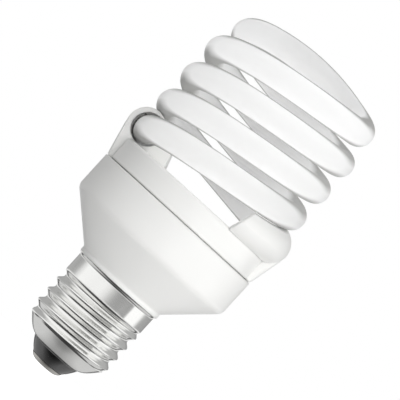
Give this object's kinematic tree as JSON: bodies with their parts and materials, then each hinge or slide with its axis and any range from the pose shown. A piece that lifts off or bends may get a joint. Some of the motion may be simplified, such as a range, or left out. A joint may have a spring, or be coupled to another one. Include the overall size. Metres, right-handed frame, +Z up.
{
  "type": "spiral energy saving bulb",
  "caption": "Compact fluorescent lamp with a double-helix glass tube, a hooded white holder, a funnel-shaped ballast housing and a screw cap.",
  "frame": {"origin": "middle of the centre contact's flat, at the lamp's lowest point", "axes": "+Z up along the lamp's axis, from the cap to the top of the tube; +X towards one hood and -X towards the other; -Y is the side the picture shows"},
  "size_m": [0.0552, 0.0506, 0.1086],
  "materials": {
    "coated_glass": "white phosphor coating inside clear glass",
    "holder_plastic": "white, moulded, satin",
    "housing_plastic": "white, moulded, satin",
    "silicone": "white, matt",
    "rolled_metal": "rolled, bright",
    "black_glass": "cast, glossy",
    "contact_brass": "pressed, tin plated",
    "tin_solder": "dull",
    "board_laminate": "phenolic paper, matt",
    "tinned_wire": "tinned",
    "can_sleeve": "shrunk sleeve",
    "black_rubber": "moulded",
    "ferrite": "fired, matt",
    "bobbin_plastic": "moulded",
    "enamelled_copper": "enamelled copper wire",
    "moulded_epoxy": "moulded",
    "resistor_lacquer": "lacquered",
    "diode_glass": "clear",
    "dipped_film": "dipped"
  },
  "bodies": {
    "root": {"spiral_tube": "coated_glass", "tube_holder": "holder_plastic", "tube_cement_right": "silicone", "tube_cement_left": "silicone", "ballast_housing": "housing_plastic", "screw_shell": "rolled_metal", "cap_insulator": "black_glass", "centre_contact": "contact_brass", "contact_solder": "tin_solder", "circuit_board": "board_laminate", "solder_joints": "tin_solder", "wrap_pins": "tinned_wire", "electrode_leads": "tinned_wire", "bulk_capacitor": "can_sleeve", "capacitor_bung": "black_rubber", "choke_core": "ferrite", "choke_bobbin": "bobbin_plastic", "choke_winding": "enamelled_copper", "driver_core": "ferrite", "driver_windings": "enamelled_copper", "transistor_high": "moulded_epoxy", "transistor_low": "moulded_epoxy", "rectifier_diodes": "moulded_epoxy", "base_resistors": "resistor_lacquer", "fuse_resistor": "resistor_lacquer", "trigger_diode": "diode_glass", "resonance_capacitor": "dipped_film", "coupling_capacitor": "dipped_film", "contact_lead": "tinned_wire", "shell_lead": "tinned_wire"}
  },
  "joints": []
}
